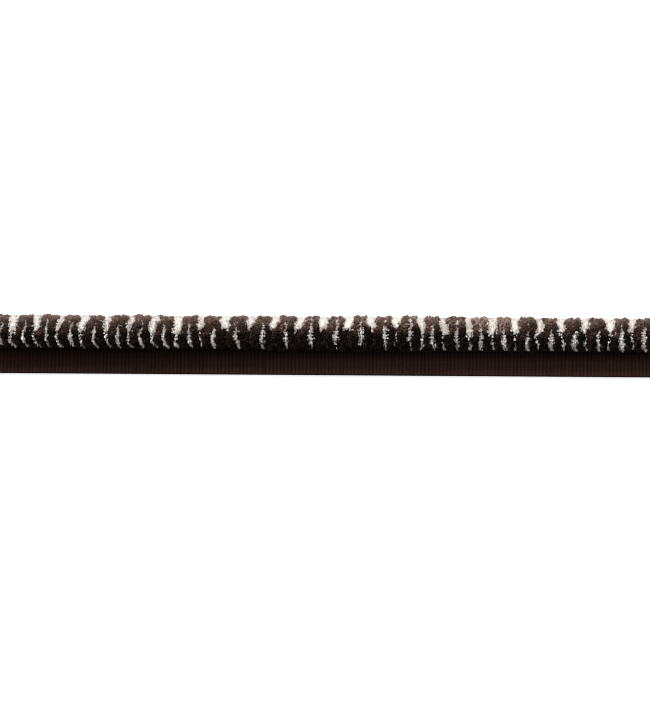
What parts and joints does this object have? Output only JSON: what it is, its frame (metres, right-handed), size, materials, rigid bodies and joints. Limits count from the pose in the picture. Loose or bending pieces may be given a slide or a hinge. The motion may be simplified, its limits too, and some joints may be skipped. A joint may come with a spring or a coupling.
{
  "type": "ruched trim",
  "caption": "Straight cut length of ruched pile trim: brown and cream pile locks side by side on a ribbed flange tape that is sewn into a seam.",
  "frame": {"origin": "middle of the tape's flat back, half way along the length and half way across the trim's overall width", "axes": "+X along the trim, +Y across it from the tape's free edge to the ruche, +Z out of its face"},
  "size_m": [0.24, 0.02, 0.0108],
  "materials": {
    "tape": "matt ribbed tape, woven dark brown",
    "brown_pile": "matt cut pile, dark brown",
    "cream_pile": "matt cut pile, cream"
  },
  "bodies": {
    "root": {"flange_tape": "tape", "brown_ruche": "brown_pile", "cream_ruche": "cream_pile"}
  },
  "joints": []
}
